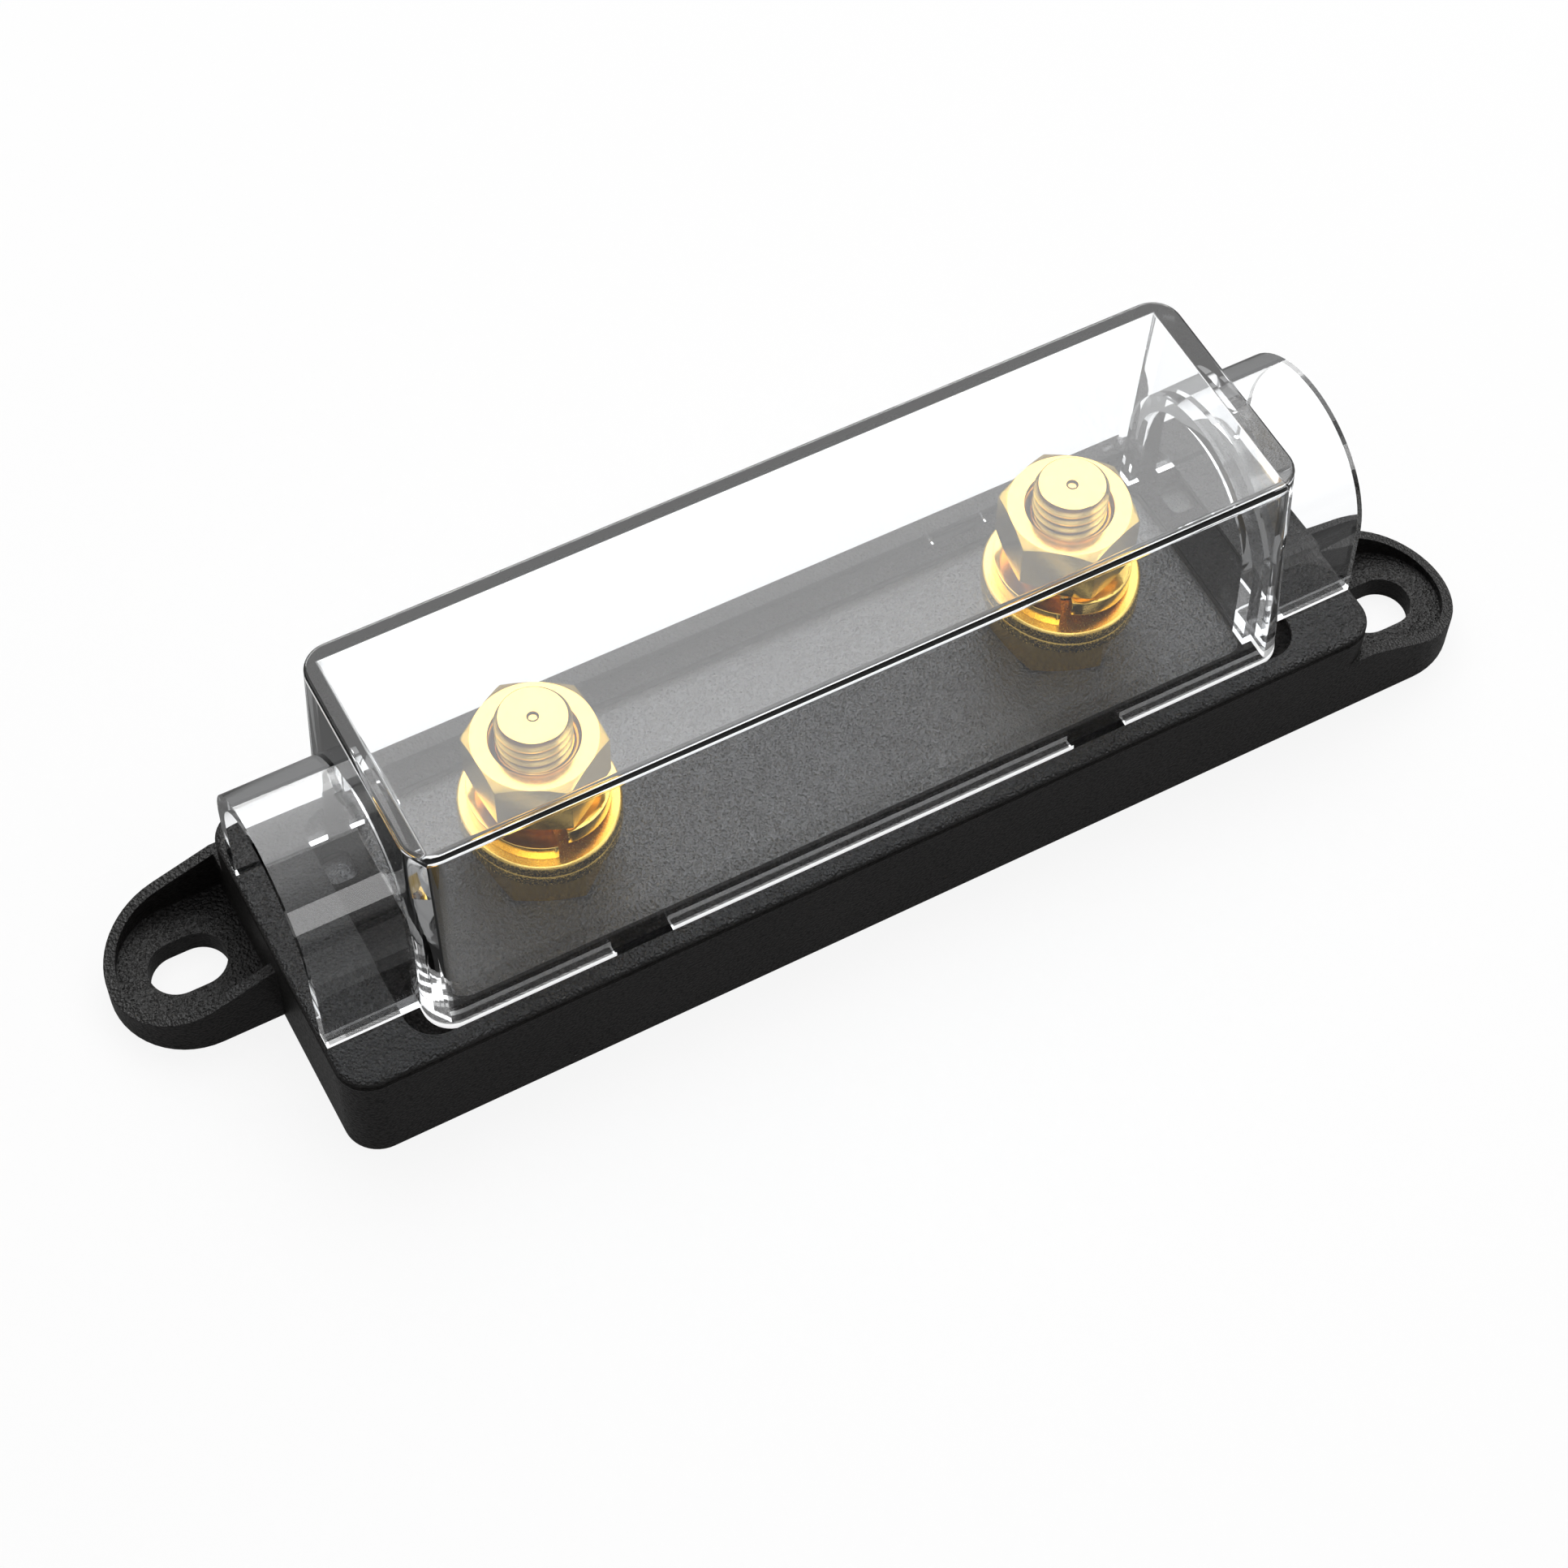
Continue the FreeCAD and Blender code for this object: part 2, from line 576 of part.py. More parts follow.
def make_cover():
    """Clear box with drafted walls, an arched cable hood at each end and four snap tongues."""
    body = new_body("cover")
    corner = S["cover_corner"]
    wall = S["cover_wall"]
    section = sketch_on(body, "YZ_Plane", "section", -cover_x)
    outline(section, [
        (-cover_y, seat_z),
        (cover_y, seat_z),
        (cover_top_y, roof_z),
        (-cover_top_y, roof_z),
    ])
    pad(body, section, cover_x * 2)
    draft = sketch_on(body, "XZ_Plane", "end_draft", cover_y + MARGIN)
    outline(draft, [
        (cover_x, seat_z),
        (cover_x + MARGIN, seat_z),
        (cover_x + MARGIN, roof_z),
        (cover_top_x, roof_z),
    ])
    end_cut = pocket(body, draft, (cover_y + MARGIN) * 2)
    mirror(body, "YZ_Plane", [end_cut])
    round_uprights(body, corner)
    round_top(body, S["cover_edge"], roof_z)

    # hood: an arched wall from inside the end wall to the end of the base
    hood_start = cover_top_x - wall - S["collar_depth"]
    bar = sketch_on(body, "YZ_Plane", "hood", hood_start)
    arch_section(bar, S["deck_height"], S["hood_axis"], S["hood_radius"], S["hood_flare"])
    hood = pad(body, bar, hood_end - hood_start)
    mirror(body, "YZ_Plane", [hood])

    # hollow inside, leaving a collar round each hood's mouth
    inside_length = cover_top_x - wall
    inside = sketch_on(body, "YZ_Plane", "inside", -inside_length)
    outline(inside, [
        (wall - cover_y, seat_z),
        (cover_y - wall, seat_z),
        (cover_top_y - wall, roof_z - wall),
        (wall - cover_top_y, roof_z - wall),
    ])
    pocket(body, inside, inside_length * 2, forward=True)
    collar = sketch_on(body, "YZ_Plane", "collar", hood_start)
    arch_wall(collar, S["deck_height"], S["hood_axis"], S["hood_radius"], S["hood_wall"],
              S["hood_flare"])
    ring = pad(body, collar, S["collar_depth"] + wall)
    mirror(body, "YZ_Plane", [ring])
    mouth = sketch_on(body, "YZ_Plane", "mouth", -hood_end - MARGIN)
    arch_section(mouth, S["deck_height"] - MARGIN, S["hood_axis"],
                 S["hood_radius"] - S["hood_wall"], S["hood_flare"])
    pocket(body, mouth, 2 * (hood_end + MARGIN), forward=True)

    # snap tongues below the long walls
    half = S["tongue_width"] / 2
    place = S["tongue_spacing"] / 2
    outer = cover_y
    inner = outer - wall
    tongues = sketch_on(body, "XY_Plane", "tongues", seat_z)
    for side in (-1, 1):
        for face in (-1, 1):
            outline(tongues, [
                (place * side - half, inner * face),
                (place * side + half, inner * face),
                (place * side + half, outer * face),
                (place * side - half, outer * face),
            ])
    pad(body, tongues, S["tongue_length"], down=True)
    return body


def make_flats(body, name, flats, reach, start, depth):
    """Cut a turned blank to a hexagon."""
    sketch = sketch_on(body, "XY_Plane", name, start)
    flat = flats / 2
    corner = flat * CORNER_PER_FLAT
    outline(sketch, [
        (corner, ZERO),
        (corner / 2, flat),
        (corner / -2, flat),
        (-corner, ZERO),
        (corner / -2, -flat),
        (corner / 2, -flat),
    ])
    circle(sketch, 0, 0, reach)
    pocket(body, sketch, depth, forward=True)


def make_stud(label, side):
    """Hexagon-head bolt that stands up through the base, with a turned and marked tip."""
    body = new_body(label)
    flat = S["head_flats"] / 2
    reach = flat * CORNER_PER_FLAT
    shank = S["stud_diameter"] / 2
    chamfer = S["stud_tip_chamfer"]
    tip = S["head_height"] + S["stud_length"]
    mark = S["stud_tip_mark"]
    blank = sketch_on(body, "XZ_Plane", "blank")
    outline(blank, [
        (ZERO, ZERO),
        (flat, ZERO),
        (reach, (reach - flat) * TAN_30),
        (reach, S["head_height"]),
        (shank, S["head_height"]),
        (shank, tip - chamfer),
        (shank - chamfer, tip),
        (mark, tip),
        (ZERO, tip - mark),
    ])
    turn(body, blank)
    make_flats(body, "flats", S["head_flats"], reach + MARGIN, ZERO, S["head_height"])
    stand(body, stud_x * side, S["head_recess"])
    return body


def make_nut(label, side, level, angle):
    """M8 nut, chamfered on both faces, with a countersunk top."""
    body = new_body(label)
    flat = S["nut_flats"] / 2
    reach = flat * CORNER_PER_FLAT
    bore = S["stud_diameter"] / 2 + S["nut_play"]
    mouth = bore + S["nut_chamfer"]
    height = S["nut_height"]
    drop = (reach - flat) * TAN_30
    blank = sketch_on(body, "XZ_Plane", "blank")
    outline(blank, [
        (bore, ZERO),
        (flat, ZERO),
        (reach, drop),
        (reach, height - drop),
        (flat, height),
        (mouth, height),
        (bore, height - S["nut_chamfer"]),
    ])
    turn(body, blank)
    make_flats(body, "flats", S["nut_flats"], reach + MARGIN, ZERO, height)
    stand(body, stud_x * side, level, angle)
    return body


def make_washer(label, side, level):
    """Flat washer, stamped, with its top edge broken."""
    body = new_body(label)
    outer = S["washer_diameter"] / 2
    inner = S["washer_bore"] / 2
    edge = S["washer_edge"]
    thickness = S["washer_thickness"]
    ring = sketch_on(body, "XZ_Plane", "ring")
    outline(ring, [
        (inner, ZERO),
        (outer, ZERO),
        (outer, thickness - edge),
        (outer - edge, thickness),
        (inner, thickness),
    ])
    turn(body, ring)
    stand(body, stud_x * side, level)
    return body


def make_spring_washer(label, side, level, split):
    """Split ring that lies flat for most of its turn and rises to its other cut end."""
    body = new_body(label)
    outer = S["spring_diameter"] / 2
    inner = S["spring_bore"] / 2
    section = sketch_on(body, "XZ_Plane", "section")
    outline(section, [
        (inner, ZERO),
        (outer, ZERO),
        (outer, S["spring_thickness"]),
        (inner, S["spring_thickness"]),
    ])
    turn(body, section, as_size(360) - S["spring_split"] - S["spring_hook"])
    hook = body.newObject("PartDesign::AdditiveHelix", "Hook")
    hook.Profile = section
    hook.ReferenceAxis = (section, ["V_Axis"])
    hook.Mode = "height-turns-angle"
    hook.LeftHanded = True
    turns = S["spring_hook"] / 360
    hook.Height = S["spring_rise"].number
    hook.Turns = turns.number
    tie(hook, "Height", S["spring_rise"])
    tie(hook, "Turns", turns)
    section.Visibility = False
    body.Tip = hook
    doc.recompute()
    stand(body, stud_x * side, level, split + S["spring_hook"] + S["spring_split"] / 2)
    return body


parts = [make_base(), make_cover()]
for name, side in (("left", -1), ("right", 1)):
    parts.append(make_stud("stud_" + name, side))
    parts.append(make_nut("lower_nut_" + name, side, tray_z, S["base_nut_turn"]))
    parts.append(make_washer("flat_washer_lower_" + name, side, base_nut_top_z))
    parts.append(make_washer("flat_washer_upper_" + name, side, upper_washer_z))
    parts.append(make_spring_washer("spring_washer_" + name, side, spring_z,
                                    S[name + "_split"]))
    parts.append(make_nut("top_nut_" + name, side, top_nut_z, S[name + "_nut_turn"]))
doc.recompute()

# Every feature must have computed, and every piece must be one valid solid
for item in doc.Objects:
    if "Invalid" in item.State or "Error" in item.State:
        raise RuntimeError("%s did not compute: %s" % (item.Label, item.State))
    if item.isDerivedFrom("PartDesign::Feature") and item.Shape.isNull():
        raise RuntimeError("%s has no shape" % item.Name)
os.makedirs("parts", exist_ok=True)
for item in parts:
    if item.Shape.isNull() or not item.Shape.isValid():
        raise RuntimeError("%s has no valid shape" % item.Label)
    if len(item.Shape.Solids) != 1:
        raise RuntimeError("%s is %d solids" % (item.Label, len(item.Shape.Solids)))
    box = item.Shape.BoundBox
    print("%-26s volume %9.1f  x %7.2f..%7.2f  y %7.2f..%7.2f  z %6.2f..%6.2f" % (
        item.Label, item.Shape.Volume, box.XMin, box.XMax, box.YMin, box.YMax,
        box.ZMin, box.ZMax))
for item in parts:
    item.Shape.exportStep("parts/" + item.Label + ".step")
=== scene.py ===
# %% [markdown]
# # A fuse holder: black base, clear cover, gold-plated terminals
#
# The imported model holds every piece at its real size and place, in metres, with X from stud to
# stud, Y to the back and Z up. This file gives those pieces the finish of the real ones and
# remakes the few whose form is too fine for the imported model, such as the threads.

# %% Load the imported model
import json
import math

import bpy
from mathutils import Matrix, Vector

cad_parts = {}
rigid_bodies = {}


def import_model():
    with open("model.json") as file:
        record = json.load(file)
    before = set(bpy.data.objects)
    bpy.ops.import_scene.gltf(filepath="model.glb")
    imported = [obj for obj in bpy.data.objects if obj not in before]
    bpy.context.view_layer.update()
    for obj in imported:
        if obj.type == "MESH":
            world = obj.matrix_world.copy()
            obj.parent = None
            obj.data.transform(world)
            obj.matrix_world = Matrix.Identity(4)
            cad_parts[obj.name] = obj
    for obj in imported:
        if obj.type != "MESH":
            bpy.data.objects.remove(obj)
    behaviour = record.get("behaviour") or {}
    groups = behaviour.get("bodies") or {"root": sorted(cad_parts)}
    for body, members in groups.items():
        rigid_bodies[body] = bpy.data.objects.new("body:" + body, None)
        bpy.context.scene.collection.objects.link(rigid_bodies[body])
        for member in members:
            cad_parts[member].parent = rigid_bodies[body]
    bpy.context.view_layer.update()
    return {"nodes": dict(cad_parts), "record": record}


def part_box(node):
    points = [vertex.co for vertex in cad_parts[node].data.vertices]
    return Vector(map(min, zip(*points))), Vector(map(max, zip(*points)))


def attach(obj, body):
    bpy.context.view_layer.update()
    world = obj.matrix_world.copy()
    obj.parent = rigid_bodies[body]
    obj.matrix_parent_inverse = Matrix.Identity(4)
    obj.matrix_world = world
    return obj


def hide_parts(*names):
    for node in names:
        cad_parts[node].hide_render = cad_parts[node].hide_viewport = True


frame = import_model()
print("packed model:", len(frame["nodes"]), "nodes")

# %% [markdown]
# ## Small helpers
#
# Sizes are written in millimetres, as on a drawing, and turned to metres once. Colours are
# written as sRGB hex values, as a colour picker gives them, and turned to the linear numbers
# that a shader works with.

# %% Units, colours, nodes and selection
MM = 0.001


def linear(hex_value):
    """Linear RGBA of an sRGB hex value such as #1d1c1c."""
    parts = [int(hex_value[i:i + 2], 16) / 255 for i in (1, 3, 5)]
    return [v / 12.92 if v <= 0.04045 else ((v + 0.055) / 1.055) ** 2.4 for v in parts] + [1.0]


def add_node(tree, kind, sockets=None, **settings):
    """Add a node, set its settings, and set or link its sockets."""
    node = tree.nodes.new(kind)
    for name, value in settings.items():
        setattr(node, name, value)
    for name, value in (sockets or {}).items():
        if isinstance(value, bpy.types.NodeSocket):
            tree.links.new(value, node.inputs[name])
        else:
            node.inputs[name].default_value = value
    return node


def new_material(name):
    """An empty node material with its output."""
    material = bpy.data.materials.new(name)
    material.use_nodes = True
    tree = material.node_tree
    tree.nodes.clear()
    return material, tree, add_node(tree, "ShaderNodeOutputMaterial")


def select_only(thing):
    """Select one piece alone and make it active."""
    bpy.ops.object.select_all(action="DESELECT")
    thing.select_set(True)
    bpy.context.view_layer.objects.active = thing


def select_parts(thing, kind, test):
    """Leave selected, in edit mode, only the faces, edges or vertices that pass a test."""
    bpy.ops.object.mode_set(mode="OBJECT")
    mesh = thing.data
    for group in (mesh.vertices, mesh.edges, mesh.polygons):
        group.foreach_set("select", [False] * len(group))
    for part in getattr(mesh, kind):
        part.select = test(part)
    bpy.ops.object.mode_set(mode="EDIT")


def apply_modifier(thing, kind, **settings):
    """Add one modifier to a piece, and apply it."""
    select_only(thing)
    modifier = thing.modifiers.new(kind.title(), kind)
    for name, value in settings.items():
        setattr(modifier, name, value)
    bpy.ops.object.modifier_apply(modifier=modifier.name)


def finish_piece(thing, material, body, node_name):
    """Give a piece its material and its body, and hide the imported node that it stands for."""
    thing.data.materials.clear()
    thing.data.materials.append(material)
    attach(thing, body)
    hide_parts(node_name)
    print(thing.name, "faces:", len(thing.data.polygons))


print("one millimetre is", MM, "in the model")

# %% [markdown]
# ## Camera
#
# The photograph looks down on the holder from the front left with a long lens. The view is
# written as a photographer would give it: which way the camera faces, how far away it is, how
# much it is tipped, and which point of the holder it looks at. The lens and the width of the
# sensor are in millimetres, as on a camera.

# %% Camera
VIEW_AZIMUTH = math.radians(-29.642)
VIEW_ELEVATION = math.radians(57.193)
VIEW_ROLL = math.radians(1.585)
VIEW_DISTANCE = 354.8 * MM
VIEW_TARGET = Vector((-7.59, -9.29, 20.0)) * MM
LENS = 79.0
SENSOR = 36.0

back = Vector((math.sin(VIEW_AZIMUTH) * math.cos(VIEW_ELEVATION),
               -math.cos(VIEW_AZIMUTH) * math.cos(VIEW_ELEVATION),
               math.sin(VIEW_ELEVATION)))
right = (-back).cross(Vector((0, 0, 1))).normalized()
up = right.cross(-back)
image_right = right * math.cos(VIEW_ROLL) + up * math.sin(VIEW_ROLL)
image_up = up * math.cos(VIEW_ROLL) - right * math.sin(VIEW_ROLL)
camera_data = bpy.data.cameras.new("camera")
camera_data.lens = LENS
camera_data.sensor_width = SENSOR
camera = bpy.data.objects.new("camera", camera_data)
turn = Matrix((image_right, image_up, back)).transposed().to_4x4()
camera.matrix_world = Matrix.Translation(VIEW_TARGET + back * VIEW_DISTANCE) @ turn
bpy.context.scene.collection.objects.link(camera)
bpy.context.scene.camera = camera
print("camera at", [round(v / MM, 1) for v in camera.matrix_world.translation], "mm")

# %% [markdown]
# ## Moulded black plastic
#
# The base is injection moulded in black glass-filled nylon. The steel of such a mould is spark
# eroded, so the part comes out with a fine pebbled grain that breaks the light up into a soft
# grey sheen. An image could give the grain, but a pattern of cells with a finer noise on it
# needs no file and follows the real size. The real grain is about half as coarse: it is drawn
# at 0.3 mm so that it shows. Its hollows stay duller and darker than its tops.
#
# The sides rub along the mould as the part leaves it, so they are plainer and darker than what
# faces up. The tray under the cover is never handled and keeps the full gloss of a new part.
# The recess round the foot of the cover lies in shade, and that shade is painted in: its sheen
# is cut to a small share, so that it stays nearly black.

# %% Grain of the black plastic
GRAIN = 0.29 * MM
FINE_GRAIN = 0.14 * MM
GRAIN_DEPTH = 0.32 * MM
EDGE_GLINT = 0.18 * MM


def grain_bump(tree, place, cells, upward):
    """The relief of the grain, at full depth only on what faces up."""
    fine = add_node(tree, "ShaderNodeTexNoise", {
        "Vector": place.outputs["Object"], "Scale": 1 / FINE_GRAIN, "Detail": 2.0})
    grain = add_node(tree, "ShaderNodeMath", {
        0: fine.outputs["Fac"], 1: 0.5, 2: cells.outputs["Distance"]},
        operation="MULTIPLY_ADD")
    rough_side = add_node(tree, "ShaderNodeMapRange", {
        "Value": upward.outputs[0], "To Min": 0.2, "To Max": 1.0})
    soft_edge = add_node(tree, "ShaderNodeBevel", {"Radius": EDGE_GLINT}, samples=4)
    return add_node(tree, "ShaderNodeBump", {
        "Height": grain.outputs[0], "Normal": soft_edge.outputs[0],
        "Strength": rough_side.outputs[0], "Distance": GRAIN_DEPTH})


print("grain", round(GRAIN / MM, 2), "mm wide and", round(GRAIN_DEPTH / MM, 2), "mm deep")

# %% Sheen of the black plastic
TRAY_LEVEL = 11.9
TRAY_BAND = 0.5
TRAY_GLOSS = 1.0
OPEN_GLOSS = 0.13
SIDE_GLOSS = 0.2
RECESS_LEVEL = 13.1
RECESS_BAND = 0.3
RECESS_PAINTED_SHADE = 0.08


def at_level(tree, height, level, band):
    """1 within a band of heights, in mm, and 0 outside it."""
    return add_node(tree, "ShaderNodeMath", {
        0: height.outputs["Z"], 1: level * MM, 2: band * MM}, operation="COMPARE")


def black_sheen(tree, place, upward):
    """How strongly the skin mirrors: most on the tray, least in the recess, where shade is painted.
    """
    height = add_node(tree, "ShaderNodeSeparateXYZ", {0: place.outputs["Object"]})
    tray = at_level(tree, height, TRAY_LEVEL, TRAY_BAND)
    recess = at_level(tree, height, RECESS_LEVEL, RECESS_BAND)
    sheen = add_node(tree, "ShaderNodeMapRange", {
        "Value": tray.outputs[0], "To Min": OPEN_GLOSS, "To Max": TRAY_GLOSS})
    sheen = add_node(tree, "ShaderNodeMath", {
        0: sheen.outputs[0], 1: upward.outputs[0], 2: SIDE_GLOSS}, operation="MULTIPLY_ADD")
    # painted shade: in the recess the sheen drops to a small share
    painted_shade_share = add_node(tree, "ShaderNodeMapRange", {
        "Value": recess.outputs[0], "To Min": 1.0, "To Max": RECESS_PAINTED_SHADE})
    return add_node(tree, "ShaderNodeMath", {
        0: sheen.outputs[0], 1: painted_shade_share.outputs[0]}, operation="MULTIPLY")


print("tray at", TRAY_LEVEL, "mm and recess at", RECESS_LEVEL, "mm")

# %% Black plastic
CLOUD = 9 * MM
NYLON_IOR = 1.53


def make_black_plastic():
    """Black nylon: two blacks, mixed by the grain and by broad clouds."""
    material, tree, output = new_material("moulded_black_nylon")
    place = add_node(tree, "ShaderNodeTexCoord")
    cells = add_node(tree, "ShaderNodeTexVoronoi", {
        "Vector": place.outputs["Object"], "Scale": 1 / GRAIN},
        feature="SMOOTH_F1")
    facing = add_node(tree, "ShaderNodeSeparateXYZ", {0: place.outputs["Normal"]})
    upward = add_node(tree, "ShaderNodeMapRange", {
        "Value": facing.outputs["Z"], "From Min": 0.3, "From Max": 0.8})
    cloud = add_node(tree, "ShaderNodeTexNoise", {
        "Vector": place.outputs["Object"], "Scale": 1 / CLOUD, "Detail": 3.0})
    shade = add_node(tree, "ShaderNodeMath", {
        0: cloud.outputs["Fac"], 1: 0.4, 2: cells.outputs["Distance"]},
        operation="MULTIPLY_ADD")
    shade = add_node(tree, "ShaderNodeMix", {
        0: shade.outputs[0], "A": linear("#2f2d2c"), "B": linear("#070707")},
        data_type="RGBA")
    dull = add_node(tree, "ShaderNodeMapRange", {
        "Value": cells.outputs["Distance"], "To Min": 0.24, "To Max": 0.55})
    bump = grain_bump(tree, place, cells, upward)
    sheen = black_sheen(tree, place, upward)
    skin = add_node(tree, "ShaderNodeBsdfPrincipled", {
        "Base Color": shade.outputs["Result"], "Roughness": dull.outputs[0],
        "Normal": bump.outputs[0], "IOR": NYLON_IOR,
        "Specular IOR Level": sheen.outputs[0]})
    tree.links.new(skin.outputs[0], output.inputs[0])
    return material


black_plastic = make_black_plastic()
print("made", black_plastic.name)

# %% [markdown]
# ## Clear polycarbonate
#
# The cover is moulded in clear polycarbonate, whose refractive index of 1.585 is a little above
# that of window glass. A real clear cover lets most light reach what is under it. A ray tracer
# can't find that light through refraction, so rays on their way to a lamp pass straight through.

# %% Clear plastic
FLOW = 14 * MM
POLYCARBONATE_IOR = 1.585


def make_clear_plastic():
    """Clear polycarbonate, faintly wavy where the melt flowed."""
    material, tree, output = new_material("clear_polycarbonate")
    place = add_node(tree, "ShaderNodeTexCoord")
    flow = add_node(tree, "ShaderNodeTexNoise", {
        "Vector": place.outputs["Object"], "Scale": 1 / FLOW, "Detail": 1.0})
    bump = add_node(tree, "ShaderNodeBump", {
        "Height": flow.outputs["Fac"], "Strength": 0.1, "Distance": 0.04 * MM})
    skin = add_node(tree, "ShaderNodeBsdfPrincipled", {
        "Base Color": linear("#fbfcfd"), "Roughness": 0.0, "IOR": POLYCARBONATE_IOR,
        "Transmission Weight": 1.0, "Normal": bump.outputs[0]})
    passing = add_node(tree, "ShaderNodeBsdfTransparent", {"Color": linear("#f4f6f8")})
    path = add_node(tree, "ShaderNodeLightPath")
    mixed = add_node(tree, "ShaderNodeMixShader", {
        0: path.outputs["Is Shadow Ray"], 1: skin.outputs[0], 2: passing.outputs[0]})
    tree.links.new(mixed.outputs[0], output.inputs[0])
    return material


clear_plastic = make_clear_plastic()
print("made", clear_plastic.name)

# %% [markdown]
# The front foot of the cover and of its hoods, where they stand on the base, isn't polished in
# the mould, nor is the underside of the left end. It is left as fine ground. The clear walls
# lead light down to it, as they do to the edge of a lit sheet of acrylic glass. That light is
# painted in: the ground material glows white, as if it were a lamp.

# %% Ground foot and its painted glow
GROUND_GRIT = 0.15 * MM
FOOT_PAINTED_GLOW = 0.8


def make_ground_foot_painted_glow():
    """Polycarbonate ground matt, with a painted glow for the light its walls lead down."""
    material, tree, output = new_material("ground_polycarbonate_painted_glow")
    place = add_node(tree, "ShaderNodeTexCoord")
    grit = add_node(tree, "ShaderNodeTexNoise", {
        "Vector": place.outputs["Object"], "Scale": 1 / GROUND_GRIT, "Detail": 2.0})
    tone = add_node(tree, "ShaderNodeMix", {
        0: grit.outputs["Fac"], "A": linear("#e9ecee"), "B": linear("#ffffff")},
        data_type="RGBA")
    bump = add_node(tree, "ShaderNodeBump", {
        "Height": grit.outputs["Fac"], "Strength": 0.4, "Distance": 0.03 * MM})
    # painted light: the emission gives the foot a white glow for the light its walls lead down
    skin = add_node(tree, "ShaderNodeBsdfPrincipled", {
        "Base Color": tone.outputs["Result"], "Roughness": 0.5, "IOR": POLYCARBONATE_IOR,
        "Normal": bump.outputs[0], "Emission Color": linear("#ffffff"),
        "Emission Strength": FOOT_PAINTED_GLOW})
    tree.links.new(skin.outputs[0], output.inputs[0])
    return material


ground_foot_painted_glow = make_ground_foot_painted_glow()
print("made", ground_foot_painted_glow.name)

# %% [markdown]
# ## Gold plating
#
# The bolts, nuts and washers are brass with a bright gold plating. Plating follows every mark
# of the tool below it, so the faces are a little uneven and the torn rims of stamped washers
# show pits. The valleys of a thread lie in shade, and what light bounces about in them comes
# out as a deeper gold. A render with few bounces misses both, so the valleys get a painted
# shade, a dark brown gold, by their distance from the axis of the stud. The base colour alone
# carries the tint, as it does for all metals.

# %% Where the gold gets painted shade or is pitted
STUD_X = 31.0


def valley_shade_mask(tree, place, inner, outer):
    """1 within the inner radius of a stud's axis, in mm, and 0 outside the outer one."""
    split = add_node(tree, "ShaderNodeSeparateXYZ", {0: place.outputs["Object"]})
    across = add_node(tree, "ShaderNodeMath", {0: split.outputs["X"]}, operation="ABSOLUTE")
    across = add_node(tree, "ShaderNodeMath", {
        0: across.outputs[0], 1: STUD_X * MM}, operation="SUBTRACT")
    arm = add_node(tree, "ShaderNodeCombineXYZ", {0: across.outputs[0], 1: split.outputs["Y"]})
    reach = add_node(tree, "ShaderNodeVectorMath", {0: arm.outputs[0]}, operation="LENGTH")
    facing = add_node(tree, "ShaderNodeSeparateXYZ", {0: place.outputs["Normal"]})
    level = add_node(tree, "ShaderNodeMath", {
        0: facing.outputs["Z"], 1: 0.95}, operation="LESS_THAN")
    mask = add_node(tree, "ShaderNodeMapRange", {
        "Value": reach.outputs["Value"], "From Min": inner * MM, "From Max": outer * MM,
        "To Min": 1.0, "To Max": 0.0})
    return add_node(tree, "ShaderNodeMath", {
        0: mask.outputs[0], 1: level.outputs[0]}, operation="MULTIPLY").outputs[0]


def rim_mask(tree, place, marks):
    """1 on the pits of the torn metal, which are only on faces that look sideways."""
    facing = add_node(tree, "ShaderNodeSeparateXYZ", {0: place.outputs["Normal"]})
    level = add_node(tree, "ShaderNodeMath", {0: facing.outputs["Z"]}, operation="ABSOLUTE")
    sideways = add_node(tree, "ShaderNodeMath", {
        0: level.outputs[0], 1: 0.5}, operation="LESS_THAN")
    pits = add_node(tree, "ShaderNodeMapRange", {
        "Value": marks, "From Min": 0.42, "From Max": 0.56, "To Min": 1.0, "To Max": 0.0})
    return add_node(tree, "ShaderNodeMath", {
        0: pits.outputs[0], 1: sideways.outputs[0]}, operation="MULTIPLY").outputs[0]


print("stud axes at x =", -STUD_X, "and", STUD_X, "mm")

# %% Gold plating
TURNED_GRIT = 0.6 * MM
STAMPED_GRIT = 0.22 * MM
THREAD_VALLEY_SHADE = (3.5, 3.96)


